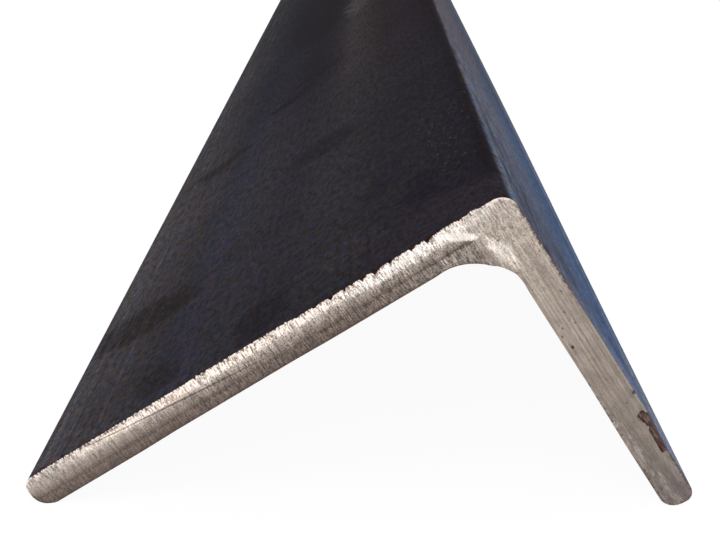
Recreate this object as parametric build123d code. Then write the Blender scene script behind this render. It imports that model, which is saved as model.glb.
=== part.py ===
from build123d import *
import os
from math import asin, atan2, cos, hypot, sin

# Hot-rolled unequal-leg steel angle, 3 x 2 x 3/16 in, saw cut to a 3 ft length.
#
# The bar runs along Y and lies unheld on its two toes, heel up, like a low roof: the long leg
# slopes down to -X and the short leg down to +X. Z = 0 is the floor, and the origin is under the
# middle of the bar. Everything is in millimetres.

INCH = 25.4

# Rolled section
long_leg = 3 * INCH
short_leg = 2 * INCH
thickness = 3 / 16 * INCH
root_fillet = 5 / 16 * INCH  # inside corner, where the legs meet
heel_radius = 2.4  # outside corner, as the rolls leave it
long_toe_outer_radius = 1.5
long_toe_inner_radius = 2.4  # each toe is rounder on its inner side
short_toe_outer_radius = 1.7
short_toe_inner_radius = 2.2

# Length and the dressed edge of the near end, a bevel along the long leg's outer face
bar_length = 36 * INCH
bevel_width_at_toe = 1.6  # measured across the sawn face
bevel_width_at_heel = 2.4
bevel_slope = 0.12  # how far the bevel leans back for each millimetre of its width
bevel_end = 7.5  # where it stops short of the heel


def resting_tilt():
    """Slope of the long leg, in radians, with both toes on the floor.

    A toe touches the floor with its inner radius only, so the bar settles on the common tangent
    of those two arcs: the line through their centres, turned by the difference of their radii.
    """
    radius_difference = long_toe_inner_radius - short_toe_inner_radius
    across = long_leg - thickness - radius_difference
    down = short_leg - thickness + radius_difference
    return atan2(down, across) - asin(radius_difference / hypot(across, down))


def section_plane(y):
    """Plane across the bar at y: heel at its origin, long leg along its x, short leg along its y."""
    tilt = resting_tilt()
    return Plane(origin=(0, y, 0), x_dir=(-cos(tilt), 0, -sin(tilt)), z_dir=(0, -1, 0))


def rolled_section():
    """The L profile, square at first, with each corner then rounded to its own radius."""
    corner_radii = {
        (0, 0): heel_radius,
        (long_leg, 0): long_toe_outer_radius,
        (long_leg, thickness): long_toe_inner_radius,
        (thickness, thickness): root_fillet,
        (thickness, short_leg): short_toe_inner_radius,
        (0, short_leg): short_toe_outer_radius,
    }
    with BuildSketch() as section:
        with BuildLine():
            Polyline(*corner_radii, close=True)
        make_face()
        for corner, radius in corner_radii.items():
            fillet(section.vertices().sort_by_distance(corner)[0], radius)
    return section.sketch


def edge_bevel():
    """The wedge that the bevel takes off the near end, thin at the toe and wide at the heel."""
    near_end = section_plane(-bar_length / 2)
    cuts = []
    for along, width in ((long_leg, bevel_width_at_toe), (bevel_end, bevel_width_at_heel)):
        corner = near_end.from_local_coords(Vector(along, 0, 0))
        across = near_end.y_dir * width
        back = -near_end.z_dir * width * bevel_slope
        cuts.append(Face(Wire.make_polygon([corner, corner + across, corner + back])))
    return Solid.make_loft([cut.outer_wire() for cut in cuts], ruled=True)


def angle_section():
    """The bar, bevelled and then set down with its box centred on X and its toes at Z = 0."""
    bar = extrude(section_plane(bar_length / 2) * rolled_section(), amount=bar_length)
    bar -= edge_bevel()
    box = bar.bounding_box()
    return Pos(-box.center().X, 0, -box.min.Z) * bar


os.makedirs("parts", exist_ok=True)
export_step(angle_section(), "parts/angle_section.step")
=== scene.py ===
import math

import bpy
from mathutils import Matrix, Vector, kdtree, noise


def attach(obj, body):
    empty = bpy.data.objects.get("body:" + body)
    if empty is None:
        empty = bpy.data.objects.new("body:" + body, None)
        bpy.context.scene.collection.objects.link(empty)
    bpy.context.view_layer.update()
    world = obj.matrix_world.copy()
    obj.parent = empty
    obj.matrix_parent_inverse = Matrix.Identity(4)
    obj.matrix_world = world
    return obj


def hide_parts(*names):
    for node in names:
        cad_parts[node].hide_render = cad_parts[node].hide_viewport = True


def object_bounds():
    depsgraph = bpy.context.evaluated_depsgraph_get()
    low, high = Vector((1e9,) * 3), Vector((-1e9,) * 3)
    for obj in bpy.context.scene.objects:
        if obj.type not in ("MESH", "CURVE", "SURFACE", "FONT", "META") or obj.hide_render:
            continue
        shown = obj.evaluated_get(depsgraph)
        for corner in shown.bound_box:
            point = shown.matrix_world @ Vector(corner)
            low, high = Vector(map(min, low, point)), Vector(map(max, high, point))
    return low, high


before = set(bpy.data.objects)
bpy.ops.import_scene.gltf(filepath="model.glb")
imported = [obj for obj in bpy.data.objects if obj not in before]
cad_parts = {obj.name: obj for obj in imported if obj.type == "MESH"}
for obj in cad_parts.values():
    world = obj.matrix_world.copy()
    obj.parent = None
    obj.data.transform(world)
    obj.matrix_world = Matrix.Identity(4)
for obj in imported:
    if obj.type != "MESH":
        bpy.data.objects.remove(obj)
cad_low, cad_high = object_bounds()


# Camera
#
# It looks down the bar from just beyond its sawn end, a little above the heel, so that the bar
# runs away from it and out of the top of the frame.

camera_data = bpy.data.cameras.new("camera")
camera_data.sensor_width = 36
camera_data.lens = 58.911
camera_data.clip_start = 0.01
camera = bpy.data.objects.new("camera", camera_data)
camera.location = (0.00092, -0.59617, 0.08539)
camera.rotation_euler = (math.radians(69.693), 0, math.radians(0.368))
bpy.context.scene.collection.objects.link(camera)
bpy.context.scene.camera = camera


# Angle section
#
# One length of 3 x 2 x 3/16 in steel angle: hot rolled, so that its faces carry dark mill scale
# and its corners are rolled round, then cut to 3 ft by a saw, which leaves bare ends.
# It lies on its two toes with the heel up, the long leg to -X and the short leg to +X.

# The rolled section
mm = 0.001
inch = 25.4 * mm
long_leg = 3 * inch
short_leg = 2 * inch
thickness = 3 / 16 * inch
root_fillet = 5 / 16 * inch
heel_radius = 2.4 * mm
long_toe_radii = (1.5 * mm, 2.4 * mm)  # outer and inner corner
short_toe_radii = (1.7 * mm, 2.2 * mm)
near_end = cad_low.y
far_end = cad_high.y

# Its grid
corner_run = thickness + root_fillet  # how far the root fillet reaches along each leg
toe_run = 6 * mm  # how far a toe's roundness spreads through the grid of its leg
cell = 0.2 * mm  # grid spacing along the legs
cells_across = 18
ring_growth = 1.42  # each ring along the bar is longer than the last, up to the middle

# Both toes rest on the floor, each on its inner arc, which sets the slope of the long leg
radius_difference = long_toe_radii[1] - short_toe_radii[1]
resting_run = long_leg - thickness - radius_difference
resting_drop = short_leg - thickness + radius_difference
tilt = math.atan2(resting_drop, resting_run)
tilt -= math.asin(radius_difference / math.hypot(resting_drop, resting_run))
down_long_leg = Vector((-math.cos(tilt), 0, -math.sin(tilt)))
down_short_leg = Vector((math.sin(tilt), 0, -math.cos(tilt)))


def along_arc(centre, radius, start, end, share):
    """Point at a share of the way round an arc, between two angles in degrees."""
    angle = math.radians(start + (end - start) * share)
    return Vector(centre) + radius * Vector((math.cos(angle), math.sin(angle)))


def heel_point(share):
    """Point of a leg's outer outline, from the middle of the heel to the end of the corner."""
    arc = heel_radius * math.pi / 4
    travelled = share * (arc + corner_run - heel_radius)
    if travelled < arc:
        return along_arc((heel_radius, heel_radius), heel_radius, 225, 270, travelled / arc)
    return Vector((heel_radius + travelled - arc, 0))


def toe_point(share, leg, toe_radii):
    """Point of a leg's end outline, from its outer face round the toe to its inner face."""
    outer, inner = toe_radii
    flat = thickness - outer - inner
    travelled = share * (outer * math.pi / 2 + flat + inner * math.pi / 2)
    if travelled < outer * math.pi / 2:
        turned = travelled / (outer * math.pi / 2)
        return along_arc((leg - outer, outer), outer, 270, 360, turned)
    travelled -= outer * math.pi / 2
    if travelled < flat:
        return Vector((leg, outer + travelled))
    turned = (travelled - flat) / (inner * math.pi / 2)
    return along_arc((leg - inner, thickness - inner), inner, 0, 90, turned)


def leg_point(run, across, leg, toe_radii):
    """Point of a leg's section: how far it is along the leg and how deep below its outer face."""
    if run < corner_run:
        root = (corner_run, corner_run)
        inner = along_arc(root, root_fillet, 225, 270, run / corner_run)
        return heel_point(run / corner_run).lerp(inner, across)
    toe_start = leg - toe_run
    square = Vector((min(run, toe_start), across * thickness))
    if run < toe_start:
        return square
    return square.lerp(toe_point(across, leg, toe_radii), (run - toe_start) / toe_run)


def smooth_step(low, high, value):
    """0 below low and 1 above high, with a smooth rise between them."""
    share = min(max((value - low) / (high - low), 0), 1)
    return share * share * (3 - 2 * share)


# The sawn face is a flat grid strip, bent in the middle round the root of the L.
bpy.ops.object.select_all(action="DESELECT")
bpy.ops.mesh.primitive_grid_add(
    x_subdivisions=round((long_leg + short_leg) / cell), y_subdivisions=cells_across, size=1
)
bar = bpy.context.object
bar.name = bar.data.name = "angle_bar"
rim = 0.499  # past this a point of the new grid, which is 1 wide, lies on its outline
outline = [
    vertex for vertex in bar.data.vertices if max(abs(vertex.co.x), abs(vertex.co.y)) > rim
]
for vertex in bar.data.vertices:
    run = (vertex.co.x + 0.5) * (long_leg + short_leg) - long_leg
    across = vertex.co.y + 0.5
    if run < 0:
        down_long, down_short = leg_point(-run, across, long_leg, long_toe_radii)
    else:
        down_short, down_long = leg_point(run, across, short_leg, short_toe_radii)
    vertex.co = down_long * down_long_leg + down_short * down_short_leg
lowest = min(vertex.co.z for vertex in bar.data.vertices)
leftmost = min(vertex.co.x for vertex in bar.data.vertices)
heel = Vector((cad_low.x - leftmost, near_end, cad_low.z - lowest))
for vertex in bar.data.vertices:
    vertex.co += heel

# How far each point of the sawn face is from its outline, in mm, for the rust of its rim
outline_tree = kdtree.KDTree(len(outline))
for vertex in outline:
    outline_tree.insert(vertex.co, vertex.index)
outline_tree.balance()
from_outline = bar.data.attributes.new("from_outline", "FLOAT", "POINT")
for vertex in bar.data.vertices:
    from_outline.data[vertex.index].value = outline_tree.find(vertex.co)[2] / mm


# The strip is drawn out along the bar, ring by ring, with short rings near the sawn ends.
half_length = (far_end - near_end) / 2
steps = [cell]
while sum(steps) < half_length - steps[-1] * ring_growth:
    steps.append(steps[-1] * ring_growth)
steps.append(half_length - sum(steps))
bpy.ops.object.mode_set(mode="EDIT")
bpy.ops.mesh.select_all(action="SELECT")
for step in steps + steps[::-1]:
    bpy.ops.mesh.extrude_region_move(TRANSFORM_OT_translate={"value": (0, step, 0)})
bpy.ops.mesh.select_all(action="SELECT")
bpy.ops.mesh.normals_make_consistent(inside=False)
bpy.ops.object.mode_set(mode="OBJECT")


# Saw marks, the dressed edge with its torn burr and the damage of the near end. They push its
# surface back from its plane, and the burr also stands out of the long leg's outer face.
edge_lean = (0.06 * mm, 0.22 * mm)  # how far the outer edge leans back, by the heel and past it
edge_lean_width = 1.9 * mm
inner_lean = 0.06 * mm
wear_reach = 1.6 * mm  # how deep the wear of the inner corner spreads into the sawn face
relief_reach = 2.6 * mm  # how far behind the end the side faces follow its relief
burr_reach = 0.6 * mm  # how far a burr spreads over the faces beside its edge
chip_depth = 0.4 * mm
toe_wear = 0.4 * mm  # how much the short leg's toe has lost by its outer face, at the end
toe_wear_width = 3 * mm
toe_wear_end = 240 * mm  # how far along the bar it has faded out
zone_start = 7.6 * mm  # where the long leg's dressed zone starts, measured down the long leg
zone_slant = 0.1  # and how much nearer to the heel for each mm down the short leg's way


def saw_ripple(down_long, down_short):
    """Depth of the marks that the saw blade leaves, which run the short leg's way."""
    coarse = noise.noise(Vector((down_long / (1.3 * mm), down_short / (30 * mm), 0)))
    fine = noise.noise(Vector((down_long / (0.45 * mm), down_short / (9 * mm), 5)))
    return (0.03 + 0.02 * coarse + 0.02 * fine) * mm


# Low ridges of burr on the dressed edge: where each starts and ends its rise and its fall down
# the long leg, and its height, in mm. The first is the tooth beside the heel.
edge_ridges = (
    (4.4, 4.75, 5.5, 6, 0.22),
    (5.5, 6.5, 70, 74, 0.05),
    (7.3, 8, 9.5, 10.5, 0.07),
)

# Notches torn in it: where each ends down the long leg, its length and depth, in mm
edge_notches = (
    (7.35, 0.35, 0.25),
    (10.3, 0.5, 0.2),
    (12.1, 1.3, 0.5),
    (12.85, 0.2, 0.2),
    (14.4, 0.9, 0.4),
    (17.4, 0.7, 0.3),
    (19.95, 1.5, 0.6),
    (21.6, 0.8, 0.4),
    (23.1, 0.4, 0.25),
    (24.4, 0.7, 0.45),
    (26.4, 0.9, 0.4),
    (28.9, 0.9, 0.25),
    (31.5, 0.6, 0.25),
)


def burr_height(down_long):
    """How far the dressed edge stands out of the outer face, or less than 0 in a torn notch.

    Each notch deepens slowly down the leg and ends at a step. Past the last one a fine burr is
    left, lower from the leg's middle on.
    """
    fine = noise.noise(Vector((down_long / (0.4 * mm), 0, 11)))
    burr = (0.1 + 0.1 * fine) * smooth_step(31 * mm, 33 * mm, down_long)
    burr *= 1 - 0.7 * smooth_step(45 * mm, 50 * mm, down_long)
    burr *= 1 - smooth_step(60 * mm, 65 * mm, down_long)
    burr += 0.16 * fine * smooth_step(3 * mm, 5 * mm, down_long)
    for rise_start, rise_end, fall_start, fall_end, height in edge_ridges:
        rise = smooth_step(rise_start * mm, rise_end * mm, down_long)
        burr += height * rise * (1 - smooth_step(fall_start * mm, fall_end * mm, down_long))
    for notch_end, length, depth in edge_notches:
        before_end = notch_end - down_long / mm
        if 0 <= before_end < length:
            burr -= depth * (1 - before_end / length)
    return burr * mm


def inner_burr(down_long):
    """How far a burr stands out of the long leg's inner face, least along the leg's middle."""
    burr = 0.13 * smooth_step(11 * mm, 14 * mm, down_long)
    burr -= 0.09 * smooth_step(28 * mm, 36 * mm, down_long)
    burr += 0.1 * smooth_step(53 * mm, 60 * mm, down_long)
    return burr * mm * (1 - smooth_step(73.6 * mm, 75 * mm, down_long))


def inner_wear(down_short):
    """How much the short leg has lost on its inner side at the cut, most of it by the root."""
    most_worn = 10.2 * mm
    by_root = max(1 - abs(down_short - most_worn) / (2.8 * mm), 0)
    wear = 0.17 * smooth_step(7.2 * mm, 8.2 * mm, down_short)
    wear *= 1 - smooth_step(27 * mm, 41 * mm, down_short)
    return (wear + 0.3 * by_root) * mm


def on_dressed_zone(down_long, down_short):
    """1 on the long leg's dressed part of the sawn face and 0 toward the heel and short leg."""
    slant = down_long + zone_slant * down_short
    return smooth_step(zone_start - 0.4 * mm, zone_start + 0.4 * mm, slant)


def edge_chip(down_long, down_short):
    """Share of its depth that the chip in the short leg's outer edge has at a place.

    It is two bites, of which the upper one goes deeper into the leg, with a nick above them.
    """
    upper_slant = 1.9 * max(0.55 * mm - down_long, 0) + 0.5 * max(down_long - 0.8 * mm, 0)
    ends = smooth_step(35.4 * mm, 35.8 * mm, down_short - upper_slant)
    ends *= 1 - smooth_step(42.2 * mm, 42.7 * mm, down_short)
    ragged = noise.noise(Vector((down_short / (0.7 * mm), 0, 3))) * 0.16 * mm
    width = 1.08 * mm + ragged + 0.42 * mm * (1 - smooth_step(35.8 * mm, 38 * mm, down_short))
    between_bites = max(1 - abs(down_short - 38.1 * mm) / (0.4 * mm), 0)
    width -= 0.22 * mm * between_bites
    bites = ends * (1 - smooth_step(width - 0.35 * mm, width, down_long))
    from_nick = math.hypot(down_long - 0.1 * mm, (down_short - 32.6 * mm) / 1.5)
    return max(bites, 0.8 * (1 - smooth_step(0.05 * mm, 0.32 * mm, from_nick)))


def near_end_relief(down_long, down_short):
    """How far the near end's surface lies behind its plane.

    The dressed zone also leans back at both its edges, in a wider strip beside the heel.
    """
    depth = saw_ripple(down_long, down_short) + chip_depth * edge_chip(down_long, down_short)
    zone = on_dressed_zone(down_long, down_short)
    width = edge_lean_width + 1.0 * mm * (1 - smooth_step(7 * mm, 14 * mm, down_long))
    outer = max(1 - down_short / width, 0)
    lean = edge_lean[0] + (edge_lean[1] - edge_lean[0]) * smooth_step(28 * mm, 36 * mm, down_long)
    inner = smooth_step(2.8 * mm, thickness, down_short)
    return depth + zone * (lean * outer ** 1.6 + inner_lean * inner ** 2)


# Each point is moved by its wear, relief and burr. Two of its measures are kept for the materials:
# how far it is from the nearer cut, in mm, and how chipped it is.
from_cut = bar.data.attributes.new("from_cut", "FLOAT", "POINT")
chipped = bar.data.attributes.new("chipped", "FLOAT", "POINT")
for vertex in bar.data.vertices:
    behind_near = vertex.co.y - near_end
    before_far = far_end - vertex.co.y
    from_cut.data[vertex.index].value = min(behind_near, before_far) / mm
    from_heel = vertex.co - heel
    down_long = from_heel.dot(down_long_leg)
    down_short = from_heel.dot(down_short_leg)

    # The short leg's worn toe
    worn = smooth_step(36 * mm, 43 * mm, down_short)
    worn *= 1 - smooth_step(40 * mm, toe_wear_end, behind_near)
    vertex.co += toe_wear * worn * max(1 - down_long / toe_wear_width, 0) * down_long_leg

    if behind_near < relief_reach:
        # The near end, with a burr on the long leg's outer and inner edge
        fade = 1 - behind_near / relief_reach
        chipped.data[vertex.index].value = edge_chip(down_long, down_short) * fade
        vertex.co.y += near_end_relief(down_long, down_short) * fade
        beside_cut = 1 - min(behind_near / burr_reach, 1)
        beside_edge = (1 - min(down_short / burr_reach, 1)) * beside_cut
        vertex.co -= burr_height(down_long) * beside_edge * down_short_leg
        beside_edge = (1 - min(abs(thickness - down_short) / burr_reach, 1)) * beside_cut
        vertex.co += inner_burr(down_long) * beside_edge * down_short_leg

        # Its worn inner edge, from the root down the short leg
        from_root = Vector((min(down_long - corner_run, 0), min(down_short - corner_run, 0)))
        below_inner = from_root.length - root_fillet
        if down_short > down_long and below_inner < wear_reach:
            wear = inner_wear(down_short) * (1 - max(below_inner, 0) / wear_reach) * fade
            into_metal = from_root.normalized() * wear
            vertex.co += into_metal.x * down_long_leg + into_metal.y * down_short_leg
    elif before_far < cell / 2:
        vertex.co.y -= saw_ripple(down_long, down_short)


# Faces are shaded smooth along the rolled corners and sharp at the sawn edges.
bpy.ops.object.select_all(action="DESELECT")
bar.select_set(True)
bpy.context.view_layer.objects.active = bar
bpy.ops.object.shade_smooth_by_angle(angle=math.radians(40))


def linear(hex_colour):
    """Linear colour of an sRGB hex value."""
    channels = [int(hex_colour[i : i + 2], 16) / 255 for i in (1, 3, 5)]
    straight = [c / 12.92 if c <= 0.04045 else ((c + 0.055) / 1.055) ** 2.4 for c in channels]
    return (*straight, 1)


def add_node(tree, kind, inputs=None, **settings):
    """Adds a node. An input is a value, an output socket, or a node for its first output."""
    node = tree.nodes.new(kind)
    for name, value in settings.items():
        setattr(node, name, value)
    for name, value in (inputs or {}).items():
        if isinstance(value, bpy.types.Node):
            value = value.outputs[0]
        if isinstance(value, bpy.types.NodeSocket):
            tree.links.new(value, node.inputs[name])
        else:
            node.inputs[name].default_value = value
    return node


def set_stops(ramp_node, length, stops):
    """Gives a colour ramp its stops, each a place in mm on its length and a colour."""
    elements = ramp_node.color_ramp.elements
    elements[0].color = linear(stops[0][1])
    elements[-1].color = linear(stops[-1][1])
    for place_in_mm, colour in stops[1:-1]:
        elements.new(place_in_mm / length).color = linear(colour)


def bare_tree(owner):
    """Turns on the nodes of a material or world and gives back its node tree, emptied."""
    owner.use_nodes = True
    owner.node_tree.nodes.clear()
    return owner.node_tree


def place_on_bar(tree):
    """A point's place on the bar in mm, and its parts.

    They run from the heel at the near end: down the long leg, along the bar, down the short leg.
    """
    position = add_node(tree, "ShaderNodeTexCoord").outputs["Object"]
    turn = (0, math.pi - tilt, 0)
    place = add_node(
        tree,
        "ShaderNodeMapping",
        {"Vector": position, "Location": heel, "Rotation": turn, "Scale": (mm, mm, mm)},
        vector_type="TEXTURE",
    )
    parts = add_node(tree, "ShaderNodeSeparateXYZ", {"Vector": place}).outputs
    return place, parts["X"], parts["Y"], parts["Z"]


def noise_of_size(tree, place, sizes, turn=0, **inputs):
    """Noise with grains of a size in mm each way, turned in the plane of the long leg's face."""
    scales = [1 / size for size in sizes]
    stretched = add_node(
        tree, "ShaderNodeMapping", {"Vector": place, "Rotation": (0, 0, turn), "Scale": scales}
    )
    return add_node(tree, "ShaderNodeTexNoise", {"Vector": stretched, "Scale": 1, **inputs})


def add_marks(tree, vector, colour, axes, marks):
    """Lays soft marks over a colour.

    Each mark is its centre and its half sizes along the two axes of its face, in mm, then its
    turn, colour and strength. Across the face it has no end.
    """
    for first, second, half_first, half_second, turn, mark_colour, strength in marks:
        centre = [0, 0, 0]
        half_sizes = [500, 500, 500]
        rotation = [0, 0, 0]
        centre[axes[0]] = first
        centre[axes[1]] = second
        half_sizes[axes[0]] = half_first
        half_sizes[axes[1]] = half_second
        rotation[3 - axes[0] - axes[1]] = turn
        mark_place = add_node(
            tree,
            "ShaderNodeMapping",
            {"Vector": vector, "Location": centre, "Rotation": rotation, "Scale": half_sizes},
            vector_type="TEXTURE",
        )
        mark = add_node(
            tree, "ShaderNodeTexGradient", {"Vector": mark_place}, gradient_type="SPHERICAL"
        )
        mark = add_node(
            tree,
            "ShaderNodeMapRange",
            {"Value": mark, "From Max": 0.5, "To Max": strength},
            interpolation_type="SMOOTHSTEP",
        )
        colour = add_node(
            tree, "ShaderNodeMixRGB", {"Fac": mark, "Color1": colour, "Color2": linear(mark_colour)}
        )
    return colour


def blue_to_tan(tree, share):
    """Tinge for an overlay: blue where the share is 0, neutral at 0.5 and tan where it is 1."""
    ramp = add_node(tree, "ShaderNodeValToRGB", {"Fac": share})
    set_stops(ramp, 1, ((0, "#90bce9"), (1, "#ddbc84")))
    return ramp


# Mill scale is the dark iron oxide that forms on steel rolled red hot. It is hard and dull: black
# with brown and blue tinges on the long leg, steel blue on the short one, and streaked along the
# bar by the rolls. All measures of both materials are in mm.
mill_scale = bpy.data.materials.new("mill_scale")
scale = bare_tree(mill_scale)
place, down_long, along_bar, down_short = place_on_bar(scale)

# The long leg's outer face: its tone from the heel to the toe, beside the cut and farther on
long_width = 76
long_share = add_node(scale, "ShaderNodeMapRange", {"Value": down_long, "From Max": long_width})
near_tone = add_node(scale, "ShaderNodeValToRGB", {"Fac": long_share})
set_stops(
    near_tone,
    long_width,
    (
        (0, "#19151c"),
        (1.2, "#0f0910"),
        (3, "#18141b"),
        (16, "#1f1c21"),
        (26, "#252226"),
        (38, "#242127"),
        (48, "#28262b"),
        (51, "#2a2731"),
        (55, "#27262d"),
        (60, "#2d292c"),
        (66, "#312d30"),
        (74.8, "#3d393b"),
        (long_width, "#62636b"),
    ),
)
# Farther on the tones are darker overall, a painted shade, over the scale's own patches.
far_tone = add_node(scale, "ShaderNodeValToRGB", {"Fac": long_share})
set_stops(
    far_tone,
    long_width,
    (
        (0, "#18151b"),
        (1.2, "#0e080f"),
        (8, "#1a121a"),
        (15, "#1c1519"),
        (20, "#252020"),
        (26, "#2c2729"),
        (29, "#221d22"),
        (33, "#19161c"),
        (38, "#151319"),
        (46, "#1a1720"),
        (55, "#1a1a22"),
        (66, "#272528"),
        (74.8, "#343135"),
        (long_width, "#53555e"),
    ),
)
farther_on = add_node(
    scale,
    "ShaderNodeMapRange",
    {"Value": along_bar, "From Min": 90, "From Max": 210},
    interpolation_type="SMOOTHSTEP",
)
long_face = add_node(
    scale, "ShaderNodeMixRGB", {"Fac": farther_on, "Color1": near_tone, "Color2": far_tone}
)

# Uneven tone: patches 12 mm wide and 60 mm long, and soft bands across the bar, 12 mm apart; the
# bands are painted shade of the low waves that the rolls leave. The leg is darker far down the bar,
# a painted shade.
broad = noise_of_size(scale, place, (12, 60, 12), turn=0.2, Detail=3)
bands = noise_of_size(scale, place, (40, 12, 40), turn=-0.2, Detail=4, Distortion=0.6)
tone = add_node(scale, "ShaderNodeMath", {0: broad, 1: bands}, operation="ADD")
tone = add_node(
    scale,
    "ShaderNodeMapRange",
    {"Value": tone, "From Min": 0.75, "From Max": 1.25, "To Min": 0.87, "To Max": 1.13},
)
far_shade = add_node(
    scale,
    "ShaderNodeMapRange",
    {"Value": along_bar, "From Min": 230, "From Max": 400, "To Min": 1, "To Max": 0.65},
)
tone = add_node(scale, "ShaderNodeMath", {0: tone, 1: far_shade}, operation="MULTIPLY")
long_face = add_node(
    scale,
    "ShaderNodeMixRGB",
    {"Fac": 1, "Color1": long_face, "Color2": tone},
    blend_type="MULTIPLY",
)

# Marks on it: a dark wedge from the toe, a broken diagonal line, and darker and lighter patches.
# The wedge, the diagonal line and the dark patches that run across the bar are painted shade of
# shallow waves and dents in the face.
wander = add_node(scale, "ShaderNodeTexNoise", {"Vector": place, "Scale": 0.12, "Detail": 4})
wandered = add_node(
    scale,
    "ShaderNodeVectorMath",
    {0: wander.outputs["Color"], 1: (12, 12, 4), 2: (-6, -6, -2)},
    operation="MULTIPLY_ADD",
)
wandered = add_node(scale, "ShaderNodeVectorMath", {0: place, 1: wandered}, operation="ADD")
long_marks = (
    (66, 42, 18, 9, 0.15, "#1d1818", 0.9),
    (31, 87, 11, 9, 0.4, "#19161b", 0.8),
    (38, 9, 6, 11, 0, "#181318", 0.7),
    (55, 9, 5, 7, 0, "#1d1818", 0.6),
    (26, 15, 8, 8, 0, "#2a262a", 0.5),
    (12, 24, 4, 9, 0, "#151019", 0.6),
    (17, 40, 5, 10, 0, "#18151f", 0.5),
    (36, 180, 9, 8, -0.9, "#131019", 0.75),
    (43, 164, 9, 7, -0.8, "#131018", 0.85),
    (61, 134, 13, 6, -0.4, "#1c1818", 0.9),
    (25.5, 268, 4.5, 28, 0, "#393534", 0.8),
    (39, 270, 7, 34, 0, "#100a10", 0.7),
    (42, 320, 16, 100, 0, "#100b11", 0.65),
    (9, 4, 14, 12, 0, "#231e24", 0.85),
)
long_face = add_marks(scale, wandered, long_face, (0, 1), long_marks)

# Small scabs, 0.7 by 1.4 mm, in two zones beside the heel, where the scale has lifted
scab_zones = ((6, 46, 7, 32, 0, "#ffffff", 1), (25, 14, 9, 10, 0, "#ffffff", 0.7))
scab_zone = add_marks(scale, wandered, (0, 0, 0, 1), (0, 1), scab_zones)
scabs = noise_of_size(scale, place, (0.7, 1.4, 0.7), Detail=1)
scabs = add_node(scale, "ShaderNodeMapRange", {"Value": scabs, "From Min": 0.63, "From Max": 0.82})
scabs = add_node(scale, "ShaderNodeMath", {0: scabs, 1: scab_zone}, operation="MULTIPLY")
long_face = add_node(
    scale, "ShaderNodeMixRGB", {"Fac": scabs, "Color1": long_face, "Color2": linear("#4c423f")}
)

# The short leg's outer face: grey blue beside the heel and bluer toward its toe, both fading to
# grey along the bar, in streaks along it that are darkest beside the heel
fade_length = 420
bar_share = add_node(scale, "ShaderNodeMapRange", {"Value": along_bar, "From Max": fade_length})
heel_half = add_node(scale, "ShaderNodeValToRGB", {"Fac": bar_share})
set_stops(
    heel_half,
    fade_length,
    (
        (0, "#5d6173"),
        (15, "#4a505f"),
        (40, "#505566"),
        (90, "#585b68"),
        (180, "#565259"),
        (fade_length, "#4c4c52"),
    ),
)
toe_half = add_node(scale, "ShaderNodeValToRGB", {"Fac": bar_share})
set_stops(
    toe_half,
    fade_length,
    (
        (0, "#656d86"),
        (15, "#465879"),
        (60, "#3d516f"),
        (110, "#3b4f6e"),
        (200, "#3b4558"),
        (fade_length, "#494c56"),
    ),
)
side_streaks = noise_of_size(scale, place, (1, 55, 1.5), Detail=5, Roughness=0.6)
ragged = add_node(
    scale,
    "ShaderNodeMapRange",
    {"Value": side_streaks, "From Min": 0.3, "From Max": 0.7, "To Min": -12, "To Max": 12},
)
halves = add_node(scale, "ShaderNodeMath", {0: down_short, 1: ragged}, operation="ADD")
halves = add_node(
    scale,
    "ShaderNodeMapRange",
    {"Value": halves, "From Min": 14, "From Max": 34},
    interpolation_type="SMOOTHSTEP",
)
short_face = add_node(
    scale, "ShaderNodeMixRGB", {"Fac": halves, "Color1": heel_half, "Color2": toe_half}
)
fine_streaks = noise_of_size(
    scale, place, (1, 18, 1.2), Detail=6, Roughness=0.7, Distortion=0.4
)
beside_heel = add_node(
    scale,
    "ShaderNodeMapRange",
    {"Value": down_short, "From Min": 7, "From Max": 20, "To Min": 1, "To Max": 0.25},
)
near_cut = add_node(
    scale,
    "ShaderNodeMapRange",
    {"Value": along_bar, "From Min": 60, "From Max": 180, "To Min": 1, "To Max": 0.4},
)
streak_strength = add_node(
    scale, "ShaderNodeMath", {0: beside_heel, 1: near_cut}, operation="MULTIPLY"
)
streak_shade = add_node(
    scale,
    "ShaderNodeMapRange",
    {"Value": fine_streaks, "From Min": 0.35, "From Max": 0.62, "To Min": 0.25, "To Max": 1.35},
)
short_face = add_node(
    scale,
    "ShaderNodeMixRGB",
    {"Fac": streak_strength, "Color1": short_face, "Color2": streak_shade},
    blend_type="MULTIPLY",
)

short_marks = (
    (8, 6, 6, 14, 0, "#3d4150", 0.5),
    (10, 1, 1.2, 5, 0, "#2a2329", 0.8),
    (9.4, 9.5, 1, 3, 0, "#2b2d3a", 0.5),
    (17.6, 26, 2, 5, 0, "#3b4352", 0.5),
    (10.3, 29, 1.3, 8, 0, "#2c2c38", 0.6),
    (9.3, 18, 1.1, 6, 0, "#2e2e3a", 0.6),
    (4.5, 22, 1.2, 6, 0, "#2b2935", 0.75),
    (20, 19, 4, 8, 0, "#363f50", 0.7),
    (17, 37, 3, 9, 0, "#52586a", 0.5),
    (30, 3, 7, 7, 0, "#657089", 0.5),
    (34, 16, 3, 6, 0, "#354459", 0.75),
    (35, 30, 2, 5, 0, "#303a4c", 0.75),
    (32.5, 48, 3.5, 14, 0, "#48607c", 0.6),
    # The lighter streak along the rolled heel is a painted highlight.
    (1.5, 12, 1.6, 26, 0, "#646a7b", 0.7),
    (10, 52, 1.2, 14, 0, "#3a3e4b", 0.5),
    (4.5, 50, 1, 20, 0, "#30343f", 0.5),
)
short_face = add_marks(scale, wandered, short_face, (2, 1), short_marks)

# The two faces meet on the rolled heel
on_short = add_node(
    scale,
    "ShaderNodeMapRange",
    {"Value": down_long, "From Min": -0.05, "From Max": 0.6, "To Min": 1, "To Max": 0},
    interpolation_type="SMOOTHSTEP",
)
face = add_node(
    scale, "ShaderNodeMixRGB", {"Fac": on_short, "Color1": long_face, "Color2": short_face}
)
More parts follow.
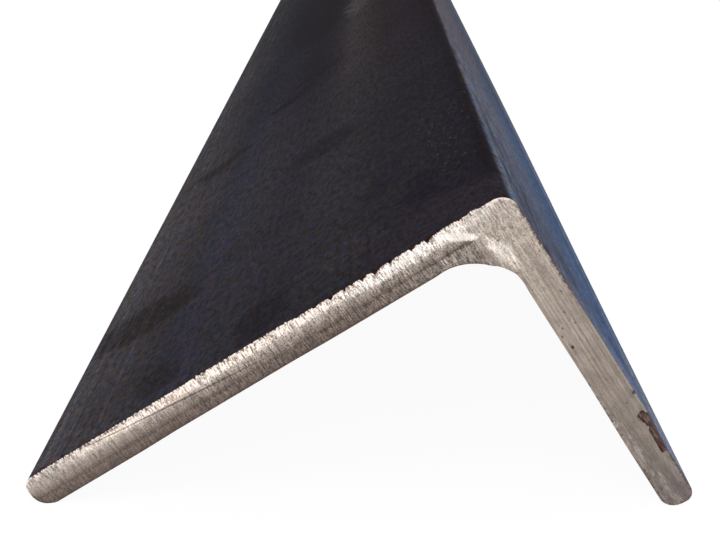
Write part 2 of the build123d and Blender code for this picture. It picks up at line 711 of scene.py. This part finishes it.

# Streaks that the rolls rub along the long leg's toe, and the lighter edge of the short leg's toe,
# a painted reflection on its rounded corner
streaks = noise_of_size(scale, place, (0.7, 60, 0.7), Detail=3)
toe_share = add_node(
    scale,
    "ShaderNodeMapRange",
    {"Value": down_long, "From Min": 56, "From Max": 74, "To Max": 0.5},
    interpolation_type="SMOOTHSTEP",
)
rubbed = add_node(
    scale, "ShaderNodeMapRange", {"Value": streaks, "From Min": 0.48, "From Max": 0.68}
)
rubbed = add_node(scale, "ShaderNodeMath", {0: toe_share, 1: rubbed}, operation="MULTIPLY")
face = add_node(
    scale, "ShaderNodeMixRGB", {"Fac": rubbed, "Color1": face, "Color2": linear("#4b494f")}
)
toe_streaks = (
    (69.5, 22, 0.7, 45, 0, "#2d2a2d", 0.55),
    (71.4, 30, 0.6, 60, 0, "#524f54", 0.2),
    (72.2, 20, 0.5, 60, 0, "#322f34", 0.5),
    (73.3, 10, 0.7, 20, 0, "#5c595e", 0.25),
    (74.6, 25, 0.6, 60, 0, "#332f33", 0.6),
)
face = add_marks(scale, place, face, (0, 1), toe_streaks)
# The short leg's toe edge is lightened to a painted reflection of the white surroundings on its
# rounded corner, fading along the bar.
short_toe = add_node(
    scale,
    "ShaderNodeMapRange",
    {"Value": down_short, "From Min": 39.5, "From Max": 44, "To Max": 0.9},
    interpolation_type="SMOOTHSTEP",
)
toe_edge = add_node(scale, "ShaderNodeValToRGB", {"Fac": bar_share})
set_stops(
    toe_edge,
    fade_length,
    (
        (0, "#737d92"),
        (12, "#717888"),
        (30, "#636d80"),
        (60, "#52627e"),
        (140, "#566076"),
        (fade_length, "#54575f"),
    ),
)
face = add_node(scale, "ShaderNodeMixRGB", {"Fac": short_toe, "Color1": face, "Color2": toe_edge})

# Beside the cut the scale is darker, brown and black, in a ragged fringe up to 1.6 mm wide. The
# chip is brown.
fringe_noise = add_node(scale, "ShaderNodeTexNoise", {"Vector": place, "Scale": 1.3, "Detail": 4})
fringe_width = add_node(
    scale,
    "ShaderNodeMapRange",
    {"Value": fringe_noise, "From Min": 0.35, "From Max": 0.65, "To Min": 0.1, "To Max": 1.6},
)
mm_from_cut = add_node(scale, "ShaderNodeAttribute", attribute_name="from_cut").outputs["Fac"]
fringe = add_node(
    scale, "ShaderNodeMath", {0: fringe_width, 1: mm_from_cut}, operation="SUBTRACT"
)
fringe = add_node(scale, "ShaderNodeMapRange", {"Value": fringe, "From Max": 0.5, "To Max": 0.9})
face = add_node(
    scale, "ShaderNodeMixRGB", {"Fac": fringe, "Color1": face, "Color2": linear("#1d1413")}
)
brown_by_cut = add_node(
    scale,
    "ShaderNodeMapRange",
    {"Value": mm_from_cut, "From Min": 0.3, "From Max": 0.7, "To Min": 0.7, "To Max": 0},
)
brown_noise = add_node(scale, "ShaderNodeTexNoise", {"Vector": place, "Scale": 1 / 0.6, "Detail": 2})
brown_ramp = add_node(scale, "ShaderNodeValToRGB", {"Fac": brown_noise})
set_stops(brown_ramp, 1, ((0, "#1d1110"), (0.45, "#241613"), (0.65, "#43241c"), (1, "#43241c")))
face = add_node(scale, "ShaderNodeMixRGB", {"Fac": brown_by_cut, "Color1": face, "Color2": brown_ramp})
how_chipped = add_node(scale, "ShaderNodeAttribute", attribute_name="chipped").outputs["Fac"]
face = add_node(
    scale, "ShaderNodeMixRGB", {"Fac": how_chipped, "Color1": face, "Color2": linear("#4d3d37")}
)

# Fine grain of the scale, in tone and in tinge. The real grain is some 0.05 mm, too fine to show,
# so it is drawn 1 mm coarse, and drawn out along the bar, more so farther on: a grain is
# (along_bar + grain_offset) / grain_divisor mm long, which the logarithm gives.
grain_offset = 71
grain_divisor = 44
grain_along = add_node(scale, "ShaderNodeMath", {0: along_bar, 1: grain_offset}, operation="ADD")
grain_along = add_node(scale, "ShaderNodeMath", {0: grain_along, 1: math.e}, operation="LOGARITHM")
grain_along = add_node(
    scale, "ShaderNodeMath", {0: grain_along, 1: grain_divisor}, operation="MULTIPLY"
)
grain_place = add_node(
    scale, "ShaderNodeCombineXYZ", {"X": down_long, "Y": grain_along, "Z": down_short}
)
grain = add_node(
    scale,
    "ShaderNodeTexNoise",
    {"Vector": grain_place, "Scale": 1, "Detail": 4, "Roughness": 0.9},
)
grain_shade = add_node(
    scale, "ShaderNodeMapRange", {"Value": grain, "From Min": 0.3, "From Max": 0.7}
)
face = add_node(
    scale,
    "ShaderNodeMixRGB",
    {"Fac": 0.87, "Color1": face, "Color2": grain_shade},
    blend_type="OVERLAY",
)
tinge = add_node(
    scale,
    "ShaderNodeTexNoise",
    {"Vector": grain_place, "Scale": 1.05, "Detail": 4, "Roughness": 0.95},
)
tinge = add_node(
    scale, "ShaderNodeMapRange", {"Value": tinge, "From Min": 0.38, "From Max": 0.62}
)
face = add_node(
    scale,
    "ShaderNodeMixRGB",
    {"Fac": 0.9, "Color1": face, "Color2": blue_to_tan(scale, tinge)},
    blend_type="OVERLAY",
)
grain_bump = add_node(
    scale, "ShaderNodeBump", {"Height": grain, "Strength": 0.6, "Distance": 0.15 * mm}
)
scale_surface = add_node(
    scale,
    "ShaderNodeBsdfPrincipled",
    {"Base Color": face, "Roughness": 0.8, "Specular IOR Level": 0.02, "Normal": grain_bump},
)
add_node(scale, "ShaderNodeOutputMaterial", {"Surface": scale_surface})


# Sawn steel is bare metal, dull from the blade, with fine marks across the long leg and a dressed
# zone along that leg's outer edge, whose brightness is partly a painted highlight. It has gone tan
# with handling.
sawn_steel = bpy.data.materials.new("sawn_steel")
sawn = bare_tree(sawn_steel)
place, down_long, _, down_short = place_on_bar(sawn)

# The saw's marks, all the short leg's way: short strokes, long lines and coarser strokes. A
# blade's own marks are about 0.1 mm wide, too fine to show, so the strokes are drawn 0.22 mm and
# the lines 0.3 mm wide.
strokes = noise_of_size(sawn, place, (0.22, 1, 1.2), Detail=2)
lines = noise_of_size(sawn, place, (0.3, 1, 20), Detail=3)
coarse = noise_of_size(sawn, place, (0.8, 1, 1.6), Detail=1)
specks = add_node(sawn, "ShaderNodeTexNoise", {"Vector": place, "Scale": 1 / 0.2, "Detail": 1})
tinges = add_node(
    sawn,
    "ShaderNodeTexNoise",
    {"Vector": place, "Scale": 1 / 0.6, "Detail": 3, "Roughness": 0.8},
)
blotches = add_node(sawn, "ShaderNodeTexNoise", {"Vector": place, "Scale": 1 / 2.5, "Detail": 3})
stroke_shift = add_node(
    sawn,
    "ShaderNodeMapRange",
    {"Value": strokes, "From Min": 0.3, "From Max": 0.7, "To Min": -0.5, "To Max": 0.5},
)

# The long leg's zone slopes down to a groove and the inner edge, and darkens that way: painted
# shade of a face that turns down from the light, with a painted shadow in the groove. A bright
# strip runs along its outer edge and widens into a tail beside the heel: fresh metal with a painted
# highlight.
zone_width = 5
depth = add_node(
    sawn, "ShaderNodeMath", {0: stroke_shift, 1: 0.7, 2: down_short}, operation="MULTIPLY_ADD"
)
depth_share = add_node(sawn, "ShaderNodeMapRange", {"Value": depth, "From Max": zone_width})
long_end = add_node(sawn, "ShaderNodeValToRGB", {"Fac": depth_share})
set_stops(
    long_end,
    zone_width,
    (
        (0, "#c8bcb2"),
        (1.4, "#b3a79d"),
        (2.1, "#9b8d83"),
        (2.75, "#877970"),
        (3.25, "#61524b"),
        (3.65, "#77685e"),
        (4.1, "#6d5f57"),
        (zone_width, "#5b4d46"),
    ),
)
near_root = add_node(
    sawn,
    "ShaderNodeMapRange",
    {"Value": down_long, "From Min": 8, "From Max": 24, "To Min": 0.65, "To Max": 0},
    interpolation_type="SMOOTHERSTEP",
)
below_groove = add_node(
    sawn,
    "ShaderNodeMapRange",
    {"Value": down_short, "From Min": 3.1, "From Max": 3.6},
    interpolation_type="SMOOTHSTEP",
)
near_root = add_node(sawn, "ShaderNodeMath", {0: near_root, 1: below_groove}, operation="MULTIPLY")
long_end = add_node(
    sawn, "ShaderNodeMixRGB", {"Fac": near_root, "Color1": long_end, "Color2": linear("#a59a91")}
)
tail_root = add_node(
    sawn,
    "ShaderNodeMapRange",
    {"Value": down_long, "From Min": 10.6, "From Max": 20, "To Min": -0.4, "To Max": 0},
)
tail = add_node(
    sawn,
    "ShaderNodeMapRange",
    {"Value": down_long, "From Min": 6, "From Max": 10.6, "To Min": -1.5, "To Max": 0},
)
strip = add_node(sawn, "ShaderNodeMath", {0: down_short, 1: tail}, operation="ADD")
strip = add_node(sawn, "ShaderNodeMath", {0: strip, 1: tail_root}, operation="ADD")
strip = add_node(
    sawn, "ShaderNodeMath", {0: stroke_shift, 1: 0.6, 2: strip}, operation="MULTIPLY_ADD"
)
strip = add_node(
    sawn,
    "ShaderNodeMapRange",
    {"Value": strip, "From Min": 0.85, "From Max": 1.45, "To Min": 1, "To Max": 0},
    interpolation_type="SMOOTHSTEP",
)
# The strip and its painted highlight fade toward the long toe.
strip_fade = add_node(
    sawn,
    "ShaderNodeMapRange",
    {"Value": down_long, "From Min": 58, "From Max": 72, "To Min": 1, "To Max": 0.1},
)
strip = add_node(sawn, "ShaderNodeMath", {0: strip, 1: strip_fade}, operation="MULTIPLY")
long_end = add_node(
    sawn, "ShaderNodeMixRGB", {"Fac": strip, "Color1": long_end, "Color2": linear("#f6e5d8")}
)

# The heel and the short leg, darker down to its toe: painted shade that deepens toward the floor
short_width = 51
short_share = add_node(sawn, "ShaderNodeMapRange", {"Value": down_short, "From Max": short_width})
short_end = add_node(sawn, "ShaderNodeValToRGB", {"Fac": short_share})
set_stops(
    short_end,
    short_width,
    (
        (0, "#c0b3a8"),
        (5, "#b9ab9f"),
        (12, "#aa9c90"),
        (20, "#9f9287"),
        (28, "#93867b"),
        (36, "#84786e"),
        (42, "#7d726a"),
        (short_width, "#6d6260"),
    ),
)
slant = add_node(
    sawn, "ShaderNodeMath", {0: down_short, 1: zone_slant, 2: down_long}, operation="MULTIPLY_ADD"
)
slant = add_node(
    sawn, "ShaderNodeMath", {0: stroke_shift, 1: 0.7, 2: slant}, operation="MULTIPLY_ADD"
)
on_long = add_node(
    sawn,
    "ShaderNodeMapRange",
    {"Value": slant, "From Min": zone_start / mm - 0.7, "From Max": zone_start / mm + 0.2},
    interpolation_type="SMOOTHSTEP",
)
metal = add_node(
    sawn, "ShaderNodeMixRGB", {"Fac": on_long, "Color1": short_end, "Color2": long_end}
)

# Single marks: painted highlights on the bright strip and on the ridge where the two zones meet,
# painted shadow in the dark crease below them and in the line along the dressed strip, the root's
# painted glints, the dull patches of the short toe, five pits, and a painted glint beside them
sawn_marks = (
    (15, 0.8, 13, 1.3, 0, "#fff6ee", 0.75),
    (12.5, 1.9, 9, 1.5, 0, "#cbbfb5", 0.12),
    (6.9, 2.75, 1.2, 0.6, 0.3, "#fff3ea", 0.9),
    (5.5, 0.5, 4, 1.2, 0, "#dccfc4", 0.5),
    (7.6, 6.8, 2.2, 3, 0, "#877b72", 0.7),
    (5.3, 5.0, 0.9, 1.9, -0.3, "#ecdfd4", 0.85),
    (4.5, 7.0, 1.0, 3.2, -0.15, "#ebdfd4", 0.85),
    (3.3, 20, 1.6, 9, 0, "#b0a297", 0.4),
    (10, 3.12, 3.4, 0.17, -0.04, "#3d302b", 0.35),
    (7.6, 3.35, 1.1, 0.14, -0.15, "#54443d", 0.5),
    (50, 1.55, 17, 0.13, 0.078, "#50342a", 0.75),
    (63.5, 0.45, 5, 0.13, 0.09, "#80604f", 0.6),
    (2.4, 41, 1.6, 5, 0, "#766b66", 0.2),
    (0.9, 36, 1.9, 12, 0, "#a5998d", 0.45),
    (4.4, 48, 1.4, 6, 0, "#5f5552", 0.5),
    (1.0, 46, 0.7, 2.6, 0, "#a1958c", 0.35),
    (3.7, 22.6, 0.26, 0.36, 0, "#43211b", 0.95),
    (3.5, 19.6, 0.16, 0.25, 0, "#54443b", 0.85),
    (4.1, 20.6, 0.18, 0.3, 0, "#5d4f46", 0.8),
    (4.6, 9.9, 0.2, 0.28, 0, "#6d605a", 0.6),
    (4.4, 4.9, 0.3, 0.25, 0, "#6f6158", 0.7),
    (4.2, 5.9, 0.18, 0.45, 0, "#f2e8de", 0.8),
)
metal = add_marks(sawn, place, metal, (0, 2), sawn_marks)

# Contrast of the marks: the strokes are strongest round the heel and the lines down the leg. Both
# darken to brown and brighten to white.
texture = add_node(sawn, "ShaderNodeMath", {0: strokes, 1: 0.66, 2: 0.1}, operation="MULTIPLY_ADD")
texture = add_node(
    sawn, "ShaderNodeMath", {0: specks, 1: 0.44, 2: texture}, operation="MULTIPLY_ADD"
)
texture = add_node(
    sawn,
    "ShaderNodeMapRange",
    {"Value": texture, "From Min": 0.53, "From Max": 0.77, "To Min": 0.2, "To Max": 1.8},
)
contrast = add_node(
    sawn,
    "ShaderNodeMapRange",
    {"Value": down_short, "From Min": 3, "From Max": 16, "To Min": 0.9, "To Max": 0.3},
)
toward_toe = add_node(
    sawn,
    "ShaderNodeMapRange",
    {"Value": down_long, "From Min": 42, "From Max": 60, "To Min": 1, "To Max": 0.65},
)
contrast = add_node(sawn, "ShaderNodeMath", {0: contrast, 1: toward_toe}, operation="MULTIPLY")
on_heel = add_node(sawn, "ShaderNodeMapRange", {"Value": on_long, "To Min": 0.65, "To Max": 1})
contrast = add_node(sawn, "ShaderNodeMath", {0: contrast, 1: on_heel}, operation="MULTIPLY")
redder = add_node(sawn, "ShaderNodeMath", {0: texture, 1: 0.9}, operation="POWER")
bluer = add_node(sawn, "ShaderNodeMath", {0: texture, 1: 1.05}, operation="POWER")
tinted = add_node(
    sawn, "ShaderNodeCombineColor", {"Red": redder, "Green": texture, "Blue": bluer}
)
tinted = add_node(sawn, "ShaderNodeMixRGB", {"Fac": on_long, "Color1": texture, "Color2": tinted})
metal = add_node(
    sawn,
    "ShaderNodeMixRGB",
    {"Fac": contrast, "Color1": metal, "Color2": tinted},
    blend_type="MULTIPLY",
)
coarse_shade = add_node(
    sawn,
    "ShaderNodeMapRange",
    {"Value": coarse, "From Min": 0.35, "From Max": 0.65, "To Min": 0.6, "To Max": 1.4},
)
coarse_strength = add_node(
    sawn,
    "ShaderNodeMapRange",
    {"Value": down_long, "From Min": 22, "From Max": 40, "To Min": 0.6, "To Max": 0.25},
)
coarse_strength = add_node(
    sawn, "ShaderNodeMath", {0: coarse_strength, 1: on_long}, operation="MULTIPLY"
)
metal = add_node(
    sawn,
    "ShaderNodeMixRGB",
    {"Fac": coarse_strength, "Color1": metal, "Color2": coarse_shade},
    blend_type="MULTIPLY",
)
line_shade = add_node(
    sawn,
    "ShaderNodeMapRange",
    {"Value": lines, "From Min": 0.32, "From Max": 0.68, "To Min": 0.6, "To Max": 1.4},
)
from_corner = add_node(sawn, "ShaderNodeMath", {0: down_long, 1: down_short}, operation="ADD")
line_strength = add_node(
    sawn,
    "ShaderNodeMapRange",
    {"Value": from_corner, "From Min": 5, "From Max": 18, "To Min": 0.35, "To Max": 0.7},
)
line_fade = add_node(
    sawn,
    "ShaderNodeMapRange",
    {"Value": down_short, "From Min": 28, "From Max": 42, "To Min": 1, "To Max": 0.5},
)
line_strength = add_node(
    sawn, "ShaderNodeMath", {0: line_strength, 1: line_fade}, operation="MULTIPLY"
)
metal = add_node(
    sawn,
    "ShaderNodeMixRGB",
    {"Fac": line_strength, "Color1": metal, "Color2": line_shade},
    blend_type="MULTIPLY",
)
metal = add_node(
    sawn,
    "ShaderNodeMixRGB",
    {"Fac": 0.4, "Color1": metal, "Color2": blotches.outputs["Fac"]},
    blend_type="OVERLAY",
)
tinges = add_node(sawn, "ShaderNodeMapRange", {"Value": tinges, "From Min": 0.3, "From Max": 0.7})
metal = add_node(
    sawn,
    "ShaderNodeMixRGB",
    {"Fac": 0.2, "Color1": metal, "Color2": blue_to_tan(sawn, tinges)},
    blend_type="OVERLAY",
)

# Marks over the texture: painted glints of the ridge and of the edge beside the heel, and the
# duller edge toward the long toe
edge_marks = (
    (8.5, 1.75, 2.5, 0.75, 0.53, "#fff9f0", 0.6),
    (10, 0.85, 1.6, 0.6, 0, "#fffcf6", 0.5),
    (15.6, 0.85, 3, 0.5, 0, "#fff8ef", 0.55),
    (2.5, 0.15, 2.6, 0.4, 0, "#fff1e6", 0.7),
    (8.4, 0.1, 1.6, 0.35, 0, "#fff1e6", 0.7),
    (61, 0.0, 9, 0.35, 0, "#7d7068", 0.7),
)
metal = add_marks(sawn, place, metal, (0, 2), edge_marks)

# Rust in pits of 0.5 mm and along the outline, where the inner side by the root stays clean and the
# rolled heel and the long leg's outer edge stay bright, bare metal with a painted highlight
pits = noise_of_size(sawn, place, (0.5, 1, 0.7), Detail=1)
pits = add_node(
    sawn, "ShaderNodeMapRange", {"Value": pits, "From Min": 0.69, "From Max": 0.75, "To Max": 0.7}
)
metal = add_node(
    sawn, "ShaderNodeMixRGB", {"Fac": pits, "Color1": metal, "Color2": linear("#4a3630")}
)
mm_from_outline = add_node(
    sawn, "ShaderNodeAttribute", attribute_name="from_outline"
).outputs["Fac"]
ragged = add_node(sawn, "ShaderNodeTexNoise", {"Vector": place, "Scale": 1 / 0.5, "Detail": 2})
ragged = add_node(
    sawn,
    "ShaderNodeMapRange",
    {"Value": ragged, "From Min": 0.3, "From Max": 0.7, "To Min": -0.25, "To Max": 0.25},
)
from_rim = add_node(sawn, "ShaderNodeMath", {0: mm_from_outline, 1: ragged}, operation="ADD")
outline_share = add_node(
    sawn,
    "ShaderNodeMapRange",
    {"Value": from_rim, "From Min": 0.05, "From Max": 0.3, "To Min": 0.9, "To Max": 0},
)
inner_side = add_node(sawn, "ShaderNodeMath", {0: down_long, 1: down_short}, operation="MINIMUM")
inner_side = add_node(
    sawn, "ShaderNodeMapRange", {"Value": inner_side, "From Min": 2.5, "From Max": 3, "To Max": 0.8}
)
by_root = add_node(
    sawn,
    "ShaderNodeMapRange",
    {"Value": down_long, "From Min": 9, "From Max": 12, "To Min": 1, "To Max": 0},
)
clean_rim = add_node(sawn, "ShaderNodeMath", {0: inner_side, 1: by_root}, operation="MULTIPLY")
clean_rim = add_node(sawn, "ShaderNodeMath", {0: 1, 1: clean_rim}, operation="SUBTRACT")
outline_share = add_node(
    sawn, "ShaderNodeMath", {0: outline_share, 1: clean_rim}, operation="MULTIPLY"
)
# The rim's first stops, by the heel and along the long leg's outer edge, are a painted highlight.
rim_colour = add_node(sawn, "ShaderNodeValToRGB", {"Fac": short_share})
set_stops(
    rim_colour,
    short_width,
    (
        (0, "#fff4ec"),
        (1.5, "#f4e8de"),
        (2.3, "#4f3f39"),
        (14, "#4f3f39"),
        (22, "#a99b8f"),
        (39, "#a3968b"),
        (43, "#54423c"),
        (short_width, "#54423c"),
    ),
)
metal = add_node(
    sawn, "ShaderNodeMixRGB", {"Fac": outline_share, "Color1": metal, "Color2": rim_colour}
)

# Nicks along the dressed edge, too small to be cut in its outline, drawn dark brown: painted shade
# in the nicks, and rust
nicks = noise_of_size(sawn, place, (0.3, 1, 0.8), Detail=1)
nicks = add_node(
    sawn, "ShaderNodeMapRange", {"Value": nicks, "From Min": 0.45, "From Max": 0.7, "To Max": 0.5}
)
nicks = add_node(sawn, "ShaderNodeMath", {0: nicks, 1: mm_from_outline}, operation="SUBTRACT")
nicks = add_node(sawn, "ShaderNodeMapRange", {"Value": nicks, "From Max": 0.12, "To Max": 0.85})
by_heel = add_node(sawn, "ShaderNodeMapRange", {"Value": down_long, "From Min": 2, "From Max": 4})
outer_side = add_node(
    sawn,
    "ShaderNodeMapRange",
    {"Value": down_short, "From Min": 0.8, "From Max": 1.2, "To Min": 1, "To Max": 0},
)
by_heel = add_node(sawn, "ShaderNodeMath", {0: by_heel, 1: outer_side}, operation="MULTIPLY")
nicked = add_node(
    sawn,
    "ShaderNodeMapRange",
    {"Value": down_long, "From Min": 36, "From Max": 52, "To Min": 1, "To Max": 0.35},
)
nicked = add_node(sawn, "ShaderNodeMath", {0: nicked, 1: on_long}, operation="MULTIPLY")
nicked = add_node(sawn, "ShaderNodeMath", {0: by_heel, 1: nicked}, operation="MAXIMUM")
nicks = add_node(sawn, "ShaderNodeMath", {0: nicks, 1: nicked}, operation="MULTIPLY")
metal = add_node(
    sawn, "ShaderNodeMixRGB", {"Fac": nicks, "Color1": metal, "Color2": linear("#5f4036")}
)

# The chip: dark rust with torn streaks, greyer where it meets the short leg's outer face
how_chipped = add_node(sawn, "ShaderNodeAttribute", attribute_name="chipped").outputs["Fac"]
chip_grain = noise_of_size(sawn, place, (0.25, 1, 1.2), Detail=3)
chip_share = add_node(
    sawn,
    "ShaderNodeMapRange",
    {"Value": chip_grain, "From Min": 0.35, "From Max": 0.65, "To Min": -0.3, "To Max": 0.3},
)
chip_share = add_node(
    sawn,
    "ShaderNodeMath",
    {0: how_chipped, 1: 0.75, 2: chip_share},
    operation="MULTIPLY_ADD",
)
chip_colour = add_node(sawn, "ShaderNodeValToRGB", {"Fac": chip_share})
set_stops(chip_colour, 1, ((0, "#2a100c"), (0.5, "#421f19"), (0.8, "#553a32"), (1, "#7b6a60")))
in_chip = add_node(
    sawn, "ShaderNodeMapRange", {"Value": how_chipped, "From Min": 0.1, "From Max": 0.35}
)
lip = add_node(
    sawn,
    "ShaderNodeMapRange",
    {"Value": down_long, "From Min": 0.15, "From Max": 0.6, "To Min": 0.7, "To Max": 0},
)
chip_colour = add_node(
    sawn, "ShaderNodeMixRGB", {"Fac": lip, "Color1": chip_colour, "Color2": linear("#555257")}
)
metal = add_node(
    sawn, "ShaderNodeMixRGB", {"Fac": in_chip, "Color1": metal, "Color2": chip_colour}
)
stroke_bump = add_node(
    sawn, "ShaderNodeBump", {"Height": texture, "Strength": 0.4, "Distance": 0.02 * mm}
)
sawn_surface = add_node(
    sawn,
    "ShaderNodeBsdfPrincipled",
    {"Base Color": metal, "Roughness": 0.5, "Metallic": 0.4, "Normal": stroke_bump},
)
add_node(sawn, "ShaderNodeOutputMaterial", {"Surface": sawn_surface})

# The faces that lie in a cut are sawn steel, and all others mill scale
bar.data.materials.append(mill_scale)
bar.data.materials.append(sawn_steel)
for polygon in bar.data.polygons:
    if all(from_cut.data[corner].value < 0.01 for corner in polygon.vertices):
        polygon.material_index = 1

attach(bar, "root")
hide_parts("angle_section")


# Floor and light
#
# A plain white floor, with soft studio light from above and in front. The floor and the sky are
# white to the eye and in reflections, and the floor keeps the bar's shadow.


def seen_or_mirrored(tree):
    """1 for rays from the eye or a reflection, and 0 for those that only carry light."""
    ray = add_node(tree, "ShaderNodeLightPath")
    return add_node(
        tree,
        "ShaderNodeMath",
        {0: ray.outputs["Is Camera Ray"], 1: ray.outputs["Is Glossy Ray"]},
        operation="MAXIMUM",
    )


bpy.ops.object.select_all(action="DESELECT")
bpy.ops.mesh.primitive_plane_add(size=8, location=(0, 0, cad_low.z))
floor = bpy.context.object
floor.name = "floor"
white_floor = bpy.data.materials.new("white_floor")
paint = bare_tree(white_floor)
seen = seen_or_mirrored(paint)
brighter_than_white = (1.25, 1.25, 1.25, 1)
shade = add_node(
    paint,
    "ShaderNodeMixRGB",
    {"Fac": seen, "Color1": linear("#d0d0d0"), "Color2": brighter_than_white},
)
glow_share = add_node(paint, "ShaderNodeMath", {0: seen, 1: 0.95}, operation="MULTIPLY")
matt = add_node(paint, "ShaderNodeBsdfDiffuse", {"Color": shade})
glow = add_node(paint, "ShaderNodeEmission")
matt_and_glow = add_node(paint, "ShaderNodeMixShader", {"Fac": glow_share, 1: matt, 2: glow})
add_node(paint, "ShaderNodeOutputMaterial", {"Surface": matt_and_glow})
floor.data.materials.append(white_floor)

world = bpy.data.worlds.new("studio")
sky = bare_tree(world)
seen = seen_or_mirrored(sky)
strength = add_node(sky, "ShaderNodeMapRange", {"Value": seen, "To Min": 0.6, "To Max": 1})
light = add_node(sky, "ShaderNodeBackground", {"Color": (1, 1, 1, 1), "Strength": strength})
add_node(sky, "ShaderNodeOutputWorld", {"Surface": light})
bpy.context.scene.world = world

# Two soft lamps, each with its place, size in m and power in W, turned to the bar's near half
lamps = (("key_lamp", (-0.7, -1.3, 1.3), 1.2, 16), ("top_lamp", (0.9, 0.3, 1.6), 1.2, 14))
for name, at, size, power in lamps:
    lamp_data = bpy.data.lights.new(name, "AREA")
    lamp_data.size = size
    lamp_data.energy = power
    lamp = bpy.data.objects.new(name, lamp_data)
    lamp.location = at
    aim = Vector((0, -0.3, 0)) - lamp.location
    lamp.rotation_euler = aim.to_track_quat("-Z", "Y").to_euler()
    bpy.context.scene.collection.objects.link(lamp)

bpy.context.scene.view_settings.view_transform = "Standard"
